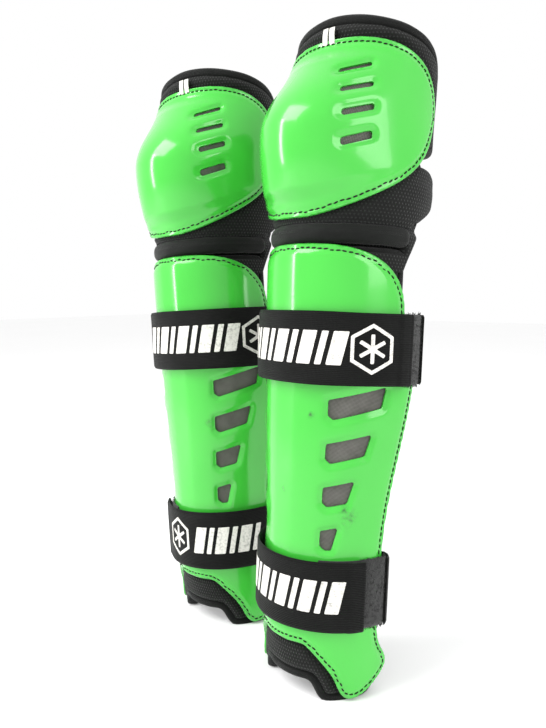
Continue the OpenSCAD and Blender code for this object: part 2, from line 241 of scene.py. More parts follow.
# ---------------------------------------------------------------- mesh building
def mesh_object(name, points, faces, guard, material, lay=None, sharp=40, extra=None):
    """A mesh piece from points in the guard's own frame. lay holds each point's place on the cloth, mm."""
    if guard == "strap":
        faces = [f[::-1] for f in faces]
    mesh = bpy.data.meshes.new(name)
    mesh.from_pydata(place(points, guard).tolist(), [], [list(f) for f in faces])
    if lay is not None:
        made = mesh.attributes.new("lay", "FLOAT_VECTOR", "POINT")
        made.data.foreach_set("vector", (np.asarray(lay) * MM).astype(np.float32).ravel())
    for key, values in (extra or {}).items():
        made = mesh.attributes.new(key, "FLOAT", "POINT")
        made.data.foreach_set("value", np.asarray(values, np.float32))
    mesh.polygons.foreach_set("use_smooth", [True] * len(mesh.polygons))
    mesh.update()
    mesh.set_sharp_from_angle(angle=math.radians(sharp))
    mesh.materials.append(material)
    made = bpy.data.objects.new(name, mesh)
    bpy.context.scene.collection.objects.link(made)
    return made


def dress(piece, guard, body=None, nodes=()):
    """Says which nodes a piece stands for and the body it rides on.
    A piece without a body has its transform baked by its caller."""
    if nodes:
        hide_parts(*(f"{guard}_{n}" for n in nodes))
    if body is not None:
        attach(piece, f"{guard}_{body}")
    return piece


def polygon_distance(points, poly):
    """Signed distance from each point to a closed polygon, positive inside."""
    a, b = poly, np.roll(poly, -1, 0)
    ab = b - a
    length2 = (ab ** 2).sum(1) + 1e-12
    rise = np.where(np.abs(ab[:, 1]) < 1e-9, 1e-9, ab[:, 1])
    out = np.empty(len(points))
    for k in range(0, len(points), 4000):
        p = points[k:k + 4000, None]
        pa = p - a
        t = np.clip((pa * ab).sum(-1) / length2, 0, 1)
        near = np.sqrt(((pa - t[..., None] * ab) ** 2).sum(-1).min(1))
        cross = ((a[:, 1] > p[..., 1]) != (b[:, 1] > p[..., 1])) & (pa[..., 0] < ab[:, 0] * pa[..., 1] / rise)
        out[k:k + 4000] = np.where(cross.sum(1) % 2 == 1, near, -near)
    return out


def outline(half, low, high, count=90):
    """Closed outline of a sheet in flat millimetres (phi * ARC, z)."""
    t = np.sin(np.linspace(-np.pi / 2, np.pi / 2, count))
    edge = np.linspace(float(low(np.array(1.0))), float(high(np.array(1.0))), 60)[1:-1]
    bottom = np.stack([t * half(low(t)) * ARC, low(t)], 1)
    top = np.stack([t * half(high(t)) * ARC, high(t)], 1)[::-1]
    right = np.stack([half(edge) * ARC, edge], 1)
    left = (right * [-1, 1])[::-1]
    return np.concatenate([bottom, right, top, left])


def inward(poly, distance):
    """A closed outline moved inwards."""
    step = np.roll(poly, -1, 0) - np.roll(poly, 1, 0)
    step /= np.linalg.norm(step, axis=1)[:, None] + 1e-9
    return poly + np.stack([-step[:, 1], step[:, 0]], 1) * distance


def respaced(poly, pitch, closed=True):
    """The same line with evenly spaced points."""
    line = np.concatenate([poly, poly[:1]]) if closed else poly
    along = np.concatenate([[0], np.cumsum(np.linalg.norm(np.diff(line, axis=0), axis=1))])
    count = max(4, int(round(along[-1] / pitch)))
    s = np.linspace(0, along[-1], count, endpoint=not closed)
    return np.stack([np.interp(s, along, line[:, k]) for k in range(line.shape[1])], 1)


def cut_grid(x0, x1, y0, y1, pitch, distance):
    """A flat grid cut off cleanly where distance(points) falls below 0. Returns points, distances, faces."""
    xs = np.linspace(x0, x1, int((x1 - x0) / pitch) + 2)
    ys = np.linspace(y0, y1, int((y1 - y0) / pitch) + 2)
    nx, ny = len(xs), len(ys)
    grid = np.stack(np.meshgrid(xs, ys, indexing="ij"), -1).reshape(-1, 2)
    d = distance(grid)
    d = np.where(np.abs(d) < 0.06 * pitch, 0.06 * pitch, d)
    inside = d > 0
    i, j = np.meshgrid(np.arange(nx - 1), np.arange(ny - 1), indexing="ij")
    first = (i * ny + j).ravel()
    cells = np.stack([first, first + ny, first + ny + 1, first + 1], 1)
    score = inside[cells].sum(1)
    faces = cells[score == 4].tolist()
    points, dist = grid.tolist(), d.tolist()
    crossing = {}

    def cut(a, b):
        key = (min(a, b), max(a, b))
        if key not in crossing:
            t = d[a] / (d[a] - d[b])
            crossing[key] = len(points)
            points.append((grid[a] * (1 - t) + grid[b] * t).tolist())
            dist.append(0.0)
        return crossing[key]

    for cell in cells[(score > 0) & (score < 4)].tolist():
        ring = []
        for k in range(4):
            a, b = cell[k], cell[(k + 1) % 4]
            if inside[a]:
                ring.append(a)
            if inside[a] != inside[b]:
                ring.append(cut(a, b))
        faces.append(ring)
    used = sorted({v for f in faces for v in f})
    renumber = {v: k for k, v in enumerate(used)}
    faces = [[renumber[v] for v in f] for f in faces]
    return np.array(points)[used], np.array(dist)[used], faces


def shell_faces(faces, count):
    """Closes a front sheet and its back copy with a rim. The back's points follow the front's."""
    edges = set()
    for f in faces:
        for a, b in zip(f, f[1:] + f[:1]):
            edges.add((a, b))
    rim = [[b, a, a + count, b + count] for a, b in edges if (b, a) not in edges]
    return faces + [[v + count for v in f[::-1]] for f in faces] + sorted(rim)


def sheet_piece(name, flat, faces, front, back, guard, material, lay=None, feet=False, **more):
    """A closed sheet between two surfaces over the same flat points."""
    points = np.concatenate([front, back])
    if feet:
        points = on_feet(points, guard)
    mapped = np.concatenate([flat, flat]) if lay is None else lay
    mapped = np.concatenate([mapped, np.zeros((len(mapped), 1))], 1)
    return mesh_object(name, points, shell_faces(faces, len(front)), guard, material, mapped, **more)


def tube_piece(name, path, face, half_w, half_h, guard, material, sides=14, closed=True, power=2.6,
               feet=False, uneven=0.0, seed=1):
    """A soft tube along path. face is the outward direction; half_w lies in the sheet, half_h across it."""
    n = len(path)
    if closed:
        t = np.roll(path, -1, 0) - np.roll(path, 1, 0)
    else:
        t = np.gradient(path, axis=0)
    t /= np.linalg.norm(t, axis=1)[:, None]
    out = face - t * (face * t).sum(1)[:, None]
    out /= np.linalg.norm(out, axis=1)[:, None]
    side = np.cross(t, out)
    a = np.arange(sides) * 2 * np.pi / sides
    ca = np.sign(np.cos(a)) * np.abs(np.cos(a)) ** (2 / power)
    sa = np.sign(np.sin(a)) * np.abs(np.sin(a)) ** (2 / power)
    along = np.concatenate([[0], np.cumsum(np.linalg.norm(np.diff(path, axis=0), axis=1))])
    swell = 1 + uneven * ripple(along[:, None], 14 * a[None], seed, 5.0)
    hw, hh = (np.broadcast_to(np.asarray(h, float), n)[:, None, None] for h in (half_w, half_h))
    ring = path[:, None] + (out[:, None] * ca[None, :, None] * hh + side[:, None] * sa[None, :, None] * hw) \
        * swell[..., None]
    points = ring.reshape(-1, 3)
    if feet:
        points = on_feet(points, guard)
        points = flatten(points, guard)
    faces = []
    for i in range(n if closed else n - 1):
        for k in range(sides):
            j, m = (i + 1) % n, (k + 1) % sides
            faces.append([i * sides + k, j * sides + k, j * sides + m, i * sides + m])
    if not closed:
        faces += [list(range(sides))[::1], [(n - 1) * sides + k for k in range(sides)][::-1]]
    lay = np.stack([np.repeat(along, sides), np.tile(a * 4, n), np.zeros(n * sides)], 1)
    return mesh_object(name, points, [f[::-1] for f in faces], guard, material, lay, sharp=60)


def flatten(points, guard):
    """Presses what would reach below the floor flat on it."""
    low = place(points, guard)[:, 2] / MM
    out = points.copy()
    out[:, 2] -= np.minimum(low, 0)
    return out


# ---------------------------------------------------------------- materials
class Nodes:
    """A material's node tree with a Principled shader and short ways to wire it."""

    def __init__(self, name, **sockets):
        self.material = bpy.data.materials.new(name)
        self.material.use_nodes = True
        self.tree = self.material.node_tree
        self.shader = self.tree.nodes["Principled BSDF"]
        for key, value in sockets.items():
            self.shader.inputs[key.replace("_", " ")].default_value = value

    def add(self, kind, **settings):
        node = self.tree.nodes.new("ShaderNode" + kind)
        for key, value in settings.items():
            setattr(node, key, value)
        return node

    def link(self, out, into):
        self.tree.links.new(out, into)

    def put(self, socket, value):
        if isinstance(value, (int, float)):
            socket.default_value = value
        else:
            self.link(value, socket)

    def math(self, operation, a, b=0.0, c=0.0):
        node = self.add("Math", operation=operation)
        for socket, value in zip(node.inputs, (a, b, c)):
            self.put(socket, value)
        return node.outputs[0]

    def lay(self):
        """Place on the cloth, in millimetres."""
        node = self.add("Attribute", attribute_name="lay")
        scale = self.add("VectorMath", operation="SCALE")
        self.link(node.outputs["Vector"], scale.inputs[0])
        scale.inputs["Scale"].default_value = 1 / MM
        return scale.outputs[0]

    def attribute(self, name):
        return self.add("Attribute", attribute_name=name).outputs["Fac"]

    def noise(self, scale, detail=4.0, where=None, roughness=0.55):
        node = self.add("TexNoise")
        node.inputs["Scale"].default_value = scale
        node.inputs["Detail"].default_value = detail
        node.inputs["Roughness"].default_value = roughness
        if where is None:
            where = self.add("TexCoord").outputs["Object"]
        self.link(where, node.inputs["Vector"])
        return node.outputs["Fac"]

    def wave(self, where, direction, pitch, phase=0.0):
        """A cosine across the cloth, -1 to 1, with that pitch in millimetres."""
        dot = self.add("VectorMath", operation="DOT_PRODUCT")
        self.link(where, dot.inputs[0])
        dot.inputs[1].default_value = [x * 2 * math.pi / pitch for x in direction]
        return self.math("COSINE", self.math("ADD", dot.outputs["Value"], phase))

    def ramp(self, factor, stops):
        node = self.add("ValToRGB")
        while len(node.color_ramp.elements) < len(stops):
            node.color_ramp.elements.new(0.5)
        for element, (at, colour) in zip(node.color_ramp.elements, stops):
            element.position = at
            element.color = (*colour, 1.0)
        self.link(factor, node.inputs[0])
        return node.outputs[0]

    def range(self, value, a0, a1, b0, b1):
        node = self.add("MapRange")
        for socket, v in zip(node.inputs, (value, a0, a1, b0, b1)):
            self.put(socket, v)
        return node.outputs[0]

    def colour(self, socket):
        self.link(socket, self.shader.inputs["Base Color"])

    def rough(self, socket):
        self.link(socket, self.shader.inputs["Roughness"])

    def bump(self, height, distance, strength=1.0):
        """distance is the relief in millimetres."""
        node = self.add("Bump")
        node.inputs["Strength"].default_value = strength
        node.inputs["Distance"].default_value = distance * MM
        self.link(height, node.inputs["Height"])
        self.link(node.outputs[0], self.shader.inputs["Normal"])


def green_plastic():
    m = Nodes("green_plastic", Specular_IOR_Level=0.5, Coat_Weight=0.35, Coat_Roughness=0.06,
              Subsurface_Weight=0.08, Subsurface_Scale=0.004)
    m.shader.inputs["Subsurface Radius"].default_value = (0.4, 1.0, 0.35)
    cloud = m.noise(9.0, 3)
    wear = m.attribute("wear")
    speck = m.range(m.noise(900.0, 2), 0.62, 0.74, 0.0, 1.0)
    scuff = m.math("MULTIPLY", wear, m.range(m.noise(260.0, 5), 0.42, 0.66, 0.0, 1.0))
    clean = m.ramp(cloud, [(0.3, (0.046, 0.46, 0.040)), (0.7, (0.056, 0.51, 0.048))])
    dirt = m.add("Mix", data_type="RGBA")
    m.link(m.math("MAXIMUM", scuff, m.math("MULTIPLY", speck, 0.05)), dirt.inputs["Factor"])
    m.link(clean, dirt.inputs["A"])
    dirt.inputs["B"].default_value = (0.012, 0.045, 0.015, 1)
    m.colour(dirt.outputs["Result"])
    m.rough(m.math("ADD", m.range(m.noise(30.0, 4), 0.3, 0.7, 0.15, 0.25), m.math("MULTIPLY", scuff, 0.4)))
    m.bump(m.noise(140.0, 2), 0.035)
    return m.material


def dot_mesh():
    """Knitted fabric with small raised dots on a hexagonal pitch."""
    m = Nodes("dot_mesh", Specular_IOR_Level=0.2, Sheen_Weight=0.08, Sheen_Roughness=0.5)
    where, pitch = m.lay(), 2.75
    waves = [m.wave(where, (math.cos(a), math.sin(a), 0), pitch * 0.866)
             for a in (math.pi / 2, math.pi / 2 + 2.0944, math.pi / 2 - 2.0944)]
    dots = m.math("ADD", m.math("ADD", waves[0], waves[1]), waves[2])
    peak = m.range(dots, 0.3, 2.7, 0.0, 1.0)
    knit = m.math("MULTIPLY", m.wave(where, (1, 0, 0), 0.55), m.wave(where, (0, 1, 0), 0.7))
    tone = m.math("ADD", m.math("MULTIPLY", peak, 0.75), m.math("MULTIPLY", m.noise(60.0, 3), 0.3))
    m.colour(m.ramp(tone, [(0.05, (0.002025, 0.002475, 0.00189)), (0.6, (0.00585, 0.006975, 0.005625)),
                           (1.0, (0.0153, 0.018, 0.0162))]))
    m.rough(m.range(peak, 0, 1, 0.75, 0.42))
    m.bump(m.math("ADD", peak, m.math("MULTIPLY", knit, 0.07)), 0.55)
    return m.material


def vent_mesh():
    """Fine grey woven mesh."""
    m = Nodes("vent_mesh", Specular_IOR_Level=0.25)
    where, pitch = m.lay(), 1.3
    over, under = m.wave(where, (0.8, 0.6, 0), pitch), m.wave(where, (-0.6, 0.8, 0), pitch)
    weave = m.math("MULTIPLY", over, under)
    hole = m.range(weave, -1, 1, 0, 1)
    tone = m.math("ADD", m.math("MULTIPLY", hole, 0.7), m.math("MULTIPLY", m.noise(90.0, 3), 0.45))
    m.colour(m.ramp(tone, [(0.15, (0.03825, 0.03655, 0.0323)), (0.55, (0.1148, 0.1105, 0.1003)),
                           (0.95, (0.2125, 0.2057, 0.1913))]))
    m.rough(m.range(hole, 0, 1, 0.8, 0.5))
    m.bump(hole, 0.4)
    return m.material


def smooth_fabric(name, dark, light, fine, relief, sheen=0.1, roughness=0.62):
    """Plain black cloth: a fine tricot face with slow tone changes and creases."""
    m = Nodes(name, Specular_IOR_Level=0.12, Sheen_Weight=sheen, Sheen_Roughness=0.45)
    where = m.lay()
    tone = m.math("ADD", m.math("MULTIPLY", m.noise(40.0, 5), 0.7), m.math("MULTIPLY", m.noise(700.0, 2), 0.3))
    m.colour(m.ramp(tone, [(0.3, dark), (0.7, light)]))
    m.rough(m.range(m.noise(55.0, 3), 0.3, 0.7, roughness - 0.08, roughness + 0.1))
    grain = m.math("MULTIPLY", m.wave(where, (1, 0, 0), fine), m.wave(where, (0, 1, 0), fine * 0.8))
    crease = m.noise(75.0, 3)
    m.bump(m.math("ADD", m.math("MULTIPLY", grain, 0.25), crease), relief)
    return m.material


def elastic():
    """Woven elastic: fine ribs along the strap and a tighter cross rib."""
    m = Nodes("elastic", Specular_IOR_Level=0.12, Sheen_Weight=0.06, Sheen_Roughness=0.4)
    where = m.lay()
    ribs = m.wave(where, (0, 1, 0), 1.25)
    picks = m.wave(where, (1, 0, 0), 0.9)
    lint = m.range(m.noise(1500.0, 2), 0.68, 0.8, 0.0, 1.0)
    tone = m.math("ADD", m.math("MULTIPLY", m.math("ADD", ribs, 1), 0.16),
                  m.math("ADD", m.math("MULTIPLY", m.noise(50.0, 4), 0.5), m.math("MULTIPLY", lint, 0.35)))
    m.colour(m.ramp(tone, [(0.15, (0.00208, 0.00224, 0.002)), (0.6, (0.005, 0.00528, 0.00488)),
                           (1.0, (0.022, 0.022, 0.02))]))
    m.rough(m.range(m.noise(45.0, 3), 0.3, 0.7, 0.52, 0.68))
    m.bump(m.math("ADD", ribs, m.math("MULTIPLY", picks, 0.35)), 0.16)
    return m.material


def pile():
    """Fuzzy loop pile."""
    m = Nodes("pile", Specular_IOR_Level=0.1, Sheen_Weight=0.25, Sheen_Roughness=0.7)
    fuzz = m.noise(1300.0, 5, roughness=0.7)
    clump = m.noise(260.0, 3)
    tone = m.math("ADD", m.math("MULTIPLY", fuzz, 0.6), m.math("MULTIPLY", clump, 0.4))
    m.colour(m.ramp(tone, [(0.35, (0.0015, 0.0017, 0.0015)), (0.65, (0.007, 0.0075, 0.00675))]))
    m.shader.inputs["Roughness"].default_value = 0.95
    m.bump(tone, 0.9)
    return m.material


def hook_tape():
    m = Nodes("hook_tape", Specular_IOR_Level=0.2)
    where = m.lay()
    hooks = m.math("MULTIPLY", m.wave(where, (1, 0, 0), 1.6), m.wave(where, (0, 1, 0), 1.2))
    m.colour(m.ramp(m.range(hooks, -1, 1, 0, 1), [(0.3, (0.002, 0.002, 0.002)), (0.9, (0.015, 0.015, 0.015))]))
    m.rough(m.range(hooks, -1, 1, 0.7, 0.45))
    m.bump(hooks, 0.5)
    return m.material


def lining():
    """Brushed lining with a soft nap."""
    m = Nodes("lining", Specular_IOR_Level=0.25, Sheen_Weight=0.2, Sheen_Roughness=0.55)
    nap = m.noise(900.0, 4)
    tone = m.math("ADD", m.math("MULTIPLY", nap, 0.5), m.math("MULTIPLY", m.noise(35.0, 3), 0.5))
    m.colour(m.ramp(tone, [(0.3, (0.00684, 0.00741, 0.007752)), (0.7, (0.02052, 0.02166, 0.02223))]))
    m.rough(m.range(nap, 0.3, 0.7, 0.75, 0.95))
    m.bump(tone, 0.35)
    return m.material


def print_white():
    m = Nodes("print_white", Specular_IOR_Level=0.4)
    where = m.lay()
    ribs = m.wave(where, (0, 1, 0), 1.25)
    worn = m.math("ADD", m.math("MULTIPLY", m.noise(420.0, 4), 0.8), m.math("MULTIPLY", ribs, 0.05))
    m.colour(m.ramp(worn, [(0.2, (0.42, 0.41, 0.38)), (0.42, (0.80, 0.775, 0.73))]))
    m.rough(m.range(m.noise(80.0, 3), 0.3, 0.7, 0.45, 0.6))
    m.bump(ribs, 0.08)
    return m.material


def thread():
    m = Nodes("thread", Specular_IOR_Level=0.15, Sheen_Weight=0.1)
    m.colour(m.ramp(m.noise(2500.0, 2), [(0.3, (0.0016, 0.0024, 0.0016)), (0.7, (0.0056, 0.0072, 0.0052))]))
    m.shader.inputs["Roughness"].default_value = 0.6
    return m.material


def label_cloth():
    m = Nodes("label_cloth", Specular_IOR_Level=0.35, Sheen_Weight=0.1)
    where = m.lay()
    twill = m.wave(where, (0.7, 0.7, 0), 0.6)
    m.colour(m.ramp(m.noise(300.0, 3), [(0.3, (0.60, 0.585, 0.54)), (0.7, (0.82, 0.80, 0.76))]))
    m.shader.inputs["Roughness"].default_value = 0.7
    m.bump(twill, 0.08)
    return m.material


MAT = dict(
    green=green_plastic(), dots=dot_mesh(), mesh=vent_mesh(), elastic=elastic(), pile=pile(), hook=hook_tape(),
    lining=lining(), white=print_white(), thread=thread(), label=label_cloth(),
    hem=smooth_fabric("hem", (0.00168, 0.002, 0.00168), (0.005, 0.0056, 0.00488), 0.6, 0.28),
    roll=smooth_fabric("roll", (0.0026, 0.00312, 0.00248), (0.0064, 0.0074, 0.0062), 0.7, 0.22, 0.12, 0.55))


# ---------------------------------------------------------------- flat patterns, shared by both guards
SHIN_LINE = outline(shin_e, shin_zb, shin_zt)
CAP_LINE = outline(lambda z: CAP_E + 0 * z, cap_zb, cap_zt)
PAD_LINE = outline(lambda z: PAD_E + 0 * z, pad_zb, pad_zt)
LINER_LINE = outline(lin_e, lin_zb, lin_zt)
GUSSET_LINE = outline(gus_e, gus_zb, gus_zt, 120)


def rounded_polygon(points, radius):
    """A convex outline's distance function, positive outside, with corners of that radius."""
    poly = np.array(points, float)
    if polygon_distance(poly.mean(0)[None], poly)[0] > 0:
        twice = (poly[:, 0] * np.roll(poly[:, 1], -1) - np.roll(poly[:, 0], -1) * poly[:, 1]).sum()
        poly = poly if twice > 0 else poly[::-1]
    step = np.roll(poly, -1, 0) - poly
    normal = np.stack([-step[:, 1], step[:, 0]], 1) / np.linalg.norm(step, axis=1)[:, None]
    inner = []
    for k in range(len(poly)):
        n0, n1 = normal[k - 1], normal[k]
        inner.append(poly[k] + (n0 + n1) * radius / (1 + n0 @ n1))
    inner = np.array(inner)
    return lambda p: -polygon_distance(p, inner) - radius


def shin_vents():
    """The four trapezoid vents of one half, shrinking towards the ankle."""
    found = []
    for k in range(4):
        points = [(23.5, 216 - 31 * k), (65 - 9.3 * k, 226 - 33.3 * k), (61.5 - 9.6 * k, 211 - 34 * k),
                  (27.5, 202 - 31 * k), (23.5, 205 - 31 * k)]
        found.append(rounded_polygon([(p * ARC, z) for p, z in points], 1.6))
    return found


def cap_slots():
    """The four slanted slots of one half of the knee cap."""
    found = []
    starts = [(16.8, 438.4, 18.6), (22.4, 422.5, 17.4), (26.0, 405.9, 17.3), (26.2, 387.3, 17.3)]
    for k, (phi, z, span) in enumerate(starts):
        half = 1.9 + 0.3 * k
        rise = 6.5 + 0.1 * k
        found.append(rounded_polygon([(phi * ARC, z - half), ((phi + span) * ARC, z + rise - half),
                                      ((phi + span) * ARC, z + rise + half), (phi * ARC, z + half)], 1.5))
    return found


def opening_distance(openings):
    """Distance outside the nearest opening of either half; the far half's sit further round."""
    def at(p):
        x = np.where(p[:, 0] < 0, -p[:, 0] - FAR * ARC, p[:, 0])
        return np.min([f(np.stack([x, p[:, 1]], 1)) for f in openings], axis=0)
    return at


# ---------------------------------------------------------------- shells
def flange(d, bead=0.9):
    """Relief near a moulded edge: a rounded rim, a sewn flange, then the raised body."""
    edge = 1.0 - np.sqrt(np.maximum(0, 1 - (1 - clamp(d / 1.1)) ** 2))
    return -1.0 * edge - 0.55 * bell(d - STITCH_IN, 0.9) + bead * smooth((d - STITCH_IN - 0.6) / 3.2)


def shin_relief(phi, z, d, dv):
    """d is the distance in from the edge, dv the distance from the nearest opening."""
    ridge = 1.1 * np.exp(-np.sqrt(phi ** 2 + 6) / 9) + 0.9 * np.exp(-np.sqrt((phi + FAR) ** 2 + 6) / 9)
    return flange(d) + ridge - 1.9 * bell(dv, 2.4) + 0.35 * ripple(phi * 1.5, z, 4, 60)


def cap_relief(phi, z, d, dv):
    return flange(d, 1.3) + dome_h(phi, z) - 2.2 * bell(dv, 2.6)


def moulded_shell(name, line, openings, relief, surface, box, pitch):
    """Flat pattern, fronts and backs of a moulded shell, worked out once for both guards."""
    vents = opening_distance(openings)
    flat, _, faces = cut_grid(*box, pitch, lambda p: np.minimum(polygon_distance(p, line), vents(p)))
    edge = polygon_distance(flat, line)
    dv = np.maximum(0, vents(flat))
    phi, z = flat[:, 0] / ARC, flat[:, 1]
    off = relief(phi, z, np.maximum(edge, 0), dv)
    back = np.maximum(off - WALL, -WALL) - 0.25 * (1 - smooth(np.maximum(edge, 0) / 1.2))
    back = np.minimum(back, off - 0.8)
    wear = np.maximum(0.5 * bell(edge, 1.6), 0)
    return dict(name=name, flat=flat, faces=faces, wear=wear,
                front=surface(phi, z, off), back=surface(phi, z, back))


def build_shell(pattern, guard, feet, wear=None):
    worn = pattern["wear"] if wear is None else np.maximum(pattern["wear"], wear)
    return sheet_piece(f"{guard}_{pattern['name']}", *(pattern[k] for k in ("flat", "faces", "front", "back")),
                       guard, MAT["green"], feet=feet, sharp=50, extra={"wear": np.concatenate([worn, worn])})


SHIN_SHELL = moulded_shell("shin_shell_moulding", SHIN_LINE, shin_vents(), shin_relief, shin_section,
                           (-97, 97, 1.5, SHIN_TOP + 0.5), 1.35)
CAP_SHELL = moulded_shell("knee_shell_moulding", CAP_LINE, cap_slots(), cap_relief, cap_section,
                          (-99.5, 99.5, CAP_LOW - 0.5, CAP_HIGH + 0.5), 1.15)


def scuffs(flat, spots):
    """How scuffed the shell is round each spot (phi, z, reach)."""
    total = 0.0
    for phi, z, reach in spots:
        total = total + bell(np.hypot(flat[:, 0] - phi * ARC, flat[:, 1] - z), reach)
    return clamp(total)


SCUFFS = {"r": [(44, 134, 4.5), (40, 139, 2.5), (-8, 150, 2.0), (12, 205, 2.0)],
          "l": [(38, 60, 3.0), (20, 180, 3.0)]}


def stitches(name, line, surface, guard, feet, wander, seed, body):
    """A row of separate thread dashes along a line sewn inside an edge."""
    draw = np.random.default_rng(seed)
    path = respaced(inward(line, STITCH_IN), 4.3)
    points, faces = [], []
    rings, sides = 5, 6
    for k in range(len(path)):
        a, b = path[k], path[(k + 1) % len(path)]
        loose = wander(a[0] / ARC, a[1])
        shift = draw.normal(0, 0.12 + 0.35 * loose, 2)
        slant = draw.normal(0.25, 0.1 + 0.25 * loose)
        along = (b - a) / np.linalg.norm(b - a)
        across = np.array([-along[1], along[0]])
        base = len(points)
        for i in range(rings):
            u = i / (rings - 1)
            flat = mix(a, b, 0.05 + 0.86 * u) + across * (shift[0] + slant * (u - 0.5))
            radius = 0.56 * math.sqrt(max(0.05, 1 - (2 * u - 1) ** 4))
            lift = 0.38 * math.sin(math.pi * u) ** 0.5
            for j in range(sides):
                w = 2 * math.pi * j / sides
                p = flat + across * radius * math.cos(w)
                points.append((p[0], p[1], lift + radius * 0.8 * math.sin(w)))
        for i in range(rings - 1):
            for j in range(sides):
                m = (j + 1) % sides
                faces.append([base + i * sides + j, base + (i + 1) * sides + j,
                              base + (i + 1) * sides + m, base + i * sides + m][::-1])
        first, last = ([base + i * sides + j for j in range(sides)] for i in (0, rings - 1))
        faces += [first, last[::-1]]
    points = np.array(points)
    made = surface(points[:, 0] / ARC, points[:, 1], points[:, 2])
    if feet:
        made = on_feet(made, guard)
    dress(mesh_object(f"{guard}_{name}", made, faces, guard, MAT["thread"], points * [1, 1, 0], sharp=80),
          guard, body)


def on_shell(surface, relief):
    """The moulded surface along its row of stitches."""
    def at(phi, z, lift):
        d = np.full(len(phi), STITCH_IN)
        return surface(phi, z, relief(phi, z, d, np.full(len(phi), CLEAR)) + lift)
    return at


# ---------------------------------------------------------------- padded liner
def liner_patterns():
    """Flat patterns of the two liners: their outer cloth runs under the shells and swells beyond them."""
    found = {}
    for key, line, shell, surface, face, box in (
            ("shin", LINER_LINE, SHIN_LINE, shin_section, SHIN_FACE, (-100, 100, -3, 323)),
            ("knee", PAD_LINE, CAP_LINE, cap_section, KNEE_FACE, (-115, 115, 345, PAD_TOP + 1))):
        flat, d, faces = cut_grid(*box, 2.0, lambda p: polygon_distance(p, line) - 5.5)
        free = -polygon_distance(flat, shell)
        phi, z = flat[:, 0] / ARC, flat[:, 1]
        swell = smooth(d / 6) * smooth((free - 0.5) / 5)
        crumple = ripple(flat[:, 0], flat[:, 1], 21, 9.0)
        tuck = -1.6 * (1 - smooth(d / 4.0))
        off = face - 0.25 + tuck + swell * (2.0 + 0.5 * crumple)
        middle = face - 0.5 * LINER_T + 0 * z
        puff = smooth(d / 9)
        inner = face - LINER_T + 1.2 - puff * (1.0 + 0.5 * ripple(flat[:, 0], flat[:, 1], 5, 22.0))
        make = lambda o: surface(phi, z, o)
        found[key] = dict(flat=flat, faces=faces, feet=key == "shin", outer=make(off), middle=make(middle),
                          half=make(middle - 0.15), inner=make(inner))
    return found


LINERS = liner_patterns()


def build_liner(guard, key, body):
    p = LINERS[key]
    outer = sheet_piece(f"{guard}_{key}_pad_face", p["flat"], p["faces"], p["outer"], p["middle"], guard,
                        MAT["dots"], feet=p["feet"])
    dress(outer, guard, body, (f"{key}_cover", f"{key}_foam"))
    back = [f[::-1] for f in p["faces"]]
    inner = sheet_piece(f"{guard}_{key}_pad_lining", p["flat"], back, p["inner"], p["half"], guard,
                        MAT["lining"], feet=p["feet"])
    dress(inner, guard, body, (f"{key}_lining",))


def hem(guard, key, line, surface, face, body, feet):
    """The folded binding round a liner's edge."""
    path = respaced(inward(respaced(line, 4.0), HEM_W), 2.6)
    for _ in range(3):
        path = (np.roll(path, 1, 0) + 2 * path + np.roll(path, -1, 0)) / 4
    phi, z = path[:, 0] / ARC, path[:, 1]
    centre = surface(phi, z, face - LINER_T / 2)
    out = surface(phi, z, face) - centre
    pucker = ripple(np.arange(len(path)) * 2.6, 0, 31, 4.0)
    piece = tube_piece(f"{guard}_{key}_hem", centre, out, HEM_W + 0.25 + 0.2 * pucker, LINER_T / 2 + 0.1,
                       guard, MAT["hem"], sides=18, feet=feet, uneven=0.035, seed=7)
    dress(piece, guard, body, (f"{key}_binding",))


# ---------------------------------------------------------------- knee: gusset, roll, cradle, label
def blend_knee(piece):
    """Bakes the transform of the cloth between shin and knee into its mesh. The lower edge of the cap is lower
    on the far side.
    """
    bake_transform(piece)


def gusset_pattern():
    flat, d, faces = cut_grid(-117, 117, 337, 382, 1.5, lambda p: polygon_distance(p, GUSSET_LINE))
    phi, z = flat[:, 0] / ARC, flat[:, 1]
    under_cap = polygon_distance(flat, CAP_LINE)
    free = smooth((-under_cap - 0.5) / 4) * smooth((z - 339) / 4)
    crumple = ripple(flat[:, 0], flat[:, 1] * 2, 9, 10.0)
    off = -WALL - 1.1 + free * (1.5 + 0.6 * crumple)
    off -= 1.2 * (1 - smooth(d / 3.0)) * smooth((np.abs(phi) - 80) / 6)
    return dict(flat=flat, faces=faces, front=gusset_section(phi, z, off),
                back=gusset_section(phi, z, -WALL - 4.4 + 0 * z))


GUSSET = gusset_pattern()


def build_gusset(guard):
    piece = sheet_piece(f"{guard}_knee_stretch_panel", GUSSET["flat"], GUSSET["faces"], GUSSET["front"],
                        GUSSET["back"], guard, MAT["dots"])
    dress(piece, guard, nodes=("knee_gusset",))
    blend_knee(piece)
    line = respaced(inward(respaced(GUSSET_LINE, 3.0), 2.8), 2.0)
    for side in (-1, 1):
        edge = line[(line[:, 0] * side > 80 * ARC) & (line[:, 1] > 341.5)]
        order = np.argsort(np.arctan2(edge[:, 1] - 360, (edge[:, 0] * side) - 84 * ARC))
        edge = edge[order]
        phi, z = edge[:, 0] / ARC, edge[:, 1]
        centre = gusset_section(phi, z, -WALL - 3.0)
        out = gusset_section(phi, z, 0.0) - centre
        wing_hem = tube_piece(f"{guard}_wing_hem_{'inner' if side < 0 else 'outer'}", centre, out, 3.0, 3.1,
                              guard, MAT["hem"], sides=14, closed=False, uneven=0.05, seed=3)
        dress(wing_hem, guard, "shin")


